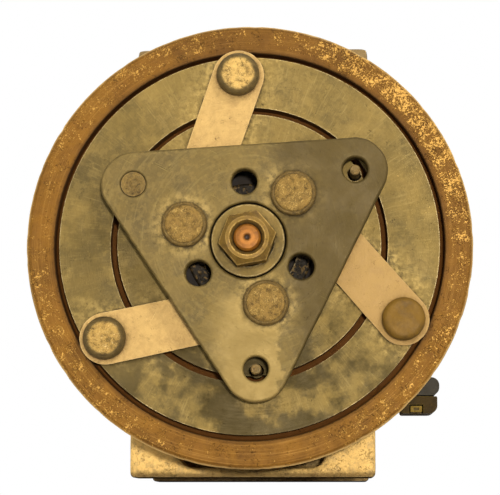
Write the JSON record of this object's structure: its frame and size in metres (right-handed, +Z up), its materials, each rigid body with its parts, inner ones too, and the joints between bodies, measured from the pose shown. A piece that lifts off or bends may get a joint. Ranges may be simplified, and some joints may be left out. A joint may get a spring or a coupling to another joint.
{
  "type": "refrigeration rotary compressor",
  "caption": "Belt-driven car air-conditioning compressor with a grooved pulley, magnetic clutch, triangular hub plate, cast housings, mounting feet and ports.",
  "frame": {"origin": "on the mounting plane under the shaft, at the middle of the front foot's underside", "axes": "+Y along the shaft from the clutch to the rear, +Z up, +X to the right as seen from the clutch"},
  "size_m": [0.12, 0.1501, 0.1215],
  "materials": {
    "pulley": "machined steel, rusted brown with worn bright specks",
    "armature": "ground steel, stained olive-brown, fine scratches",
    "hub": "pressed steel, dull olive-brown, dusty",
    "leaf_spring": "spring strip, pale tan, satin",
    "rivet": "formed steel, brown-gold, dirty at the rim",
    "nut": "steel, dull olive-brown",
    "shaft": "turned steel, copper-brown stain at the tip",
    "bearing_steel": "ground and polished steel",
    "plain_steel": "zinc-plated steel, dull",
    "coil_case": "pressed steel, dark",
    "coil_winding": "enamelled copper wire set in resin",
    "housing": "die-cast aluminium, stained gold-tan, grimy",
    "scroll": "machined aluminium",
    "rubber": "black rubber, matt",
    "lead_sleeve": "black sleeving, dusty",
    "connector_body": "dark brown plastic, satin",
    "connector_collar": "slate-grey plastic, satin",
    "connector_lock": "golden-yellow plastic"
  },
  "bodies": {
    "housing": {"front_housing": "housing", "rear_housing": "housing", "housing_bolt_1": "plain_steel", "housing_bolt_2": "plain_steel", "housing_bolt_3": "plain_steel", "housing_bolt_4": "plain_steel", "housing_bolt_5": "plain_steel", "joint_o_ring": "rubber", "oil_plug": "plain_steel", "relief_valve_body": "plain_steel", "relief_spring": "plain_steel", "fixed_scroll": "scroll", "discharge_reed": "plain_steel", "reed_stop": "plain_steel", "reed_screw": "plain_steel", "thrust_plate": "plain_steel", "guide_pin_1": "bearing_steel", "guide_pin_2": "bearing_steel", "guide_pin_3": "bearing_steel", "guide_pin_4": "bearing_steel", "main_bearing_outer_race": "bearing_steel", "shaft_seal": "rubber", "seal_retaining_ring": "plain_steel", "pulley_bearing_inner_race": "bearing_steel", "pulley_retaining_ring": "plain_steel", "field_coil_case": "coil_case", "field_coil_winding": "coil_winding", "coil_lead": "lead_sleeve", "connector_collar": "connector_collar", "coil_connector": "connector_body", "connector_lock": "connector_lock"},
    "pulley": {"pulley": "pulley", "pulley_bearing_outer_race": "bearing_steel", "pulley_bearing_shield": "rubber"},
    "pulley_ball_row": {"pulley_bearing_balls": "bearing_steel"},
    "shaft": {"crankshaft": "shaft", "drive_bushing": "plain_steel", "main_bearing_inner_race": "bearing_steel", "clutch_shim": "plain_steel", "hub_boss": "hub", "hub_plate": "hub", "hub_rivet_1": "rivet", "hub_rivet_2": "rivet", "hub_rivet_3": "rivet", "leaf_spring_1": "leaf_spring", "leaf_spring_2": "leaf_spring", "leaf_spring_3": "leaf_spring", "shaft_nut": "nut"},
    "main_ball_row": {"main_bearing_balls": "bearing_steel"},
    "armature": {"armature_plate": "armature", "armature_rivet_1": "rivet", "armature_rivet_2": "rivet", "armature_rivet_3": "rivet", "stop_pin_1": "rivet", "stop_pin_2": "rivet", "stop_pin_3": "rivet"},
    "orbiting_scroll": {"orbiting_scroll": "scroll", "scroll_needle_bearing": "bearing_steel"},
    "relief_poppet": {"relief_poppet": "plain_steel"}
  },
  "joints": [
    {"name": "pulley_spin", "type": "hinge", "parent": "housing", "child": "pulley", "pos_m": [0, -0.0204, 0.0615], "axis": [0, 1, 0], "continuous": true},
    {"name": "pulley_balls_spin", "type": "hinge", "parent": "housing", "child": "pulley_ball_row", "pos_m": [0, -0.0204, 0.0615], "axis": [0, 1, 0], "continuous": true},
    {"name": "shaft_spin", "type": "hinge", "parent": "housing", "child": "shaft", "pos_m": [0, 0.001, 0.0615], "axis": [0, 1, 0], "continuous": true},
    {"name": "main_balls_spin", "type": "hinge", "parent": "housing", "child": "main_ball_row", "pos_m": [0, 0.001, 0.0615], "axis": [0, 1, 0], "continuous": true},
    {"name": "armature_pull_in", "type": "slide", "parent": "shaft", "child": "armature", "axis": [0, 1, 0], "range_m": [0, 0.0004], "stiffness_N_per_m": 20000, "springref_m": -0.0005, "deforming": ["leaf_spring_1", "leaf_spring_2", "leaf_spring_3"]},
    {"name": "scroll_orbit", "type": "hinge", "parent": "shaft", "child": "orbiting_scroll", "pos_m": [0, 0.032, 0.0664], "axis": [0, 1, 0], "continuous": true},
    {"name": "relief_lift", "type": "slide", "parent": "housing", "child": "relief_poppet", "axis": [0, 1, 0], "range_m": [0, 0.0015], "stiffness_N_per_m": 6000, "springref_m": -0.005, "deforming": ["relief_spring"]}
  ],
  "couplings": [
    {"joint": "pulley_balls_spin", "follows": "pulley_spin", "ratio": 0.56444},
    {"joint": "main_balls_spin", "follows": "shaft_spin", "ratio": 0.4},
    {"joint": "scroll_orbit", "follows": "shaft_spin", "ratio": -1}
  ]
}
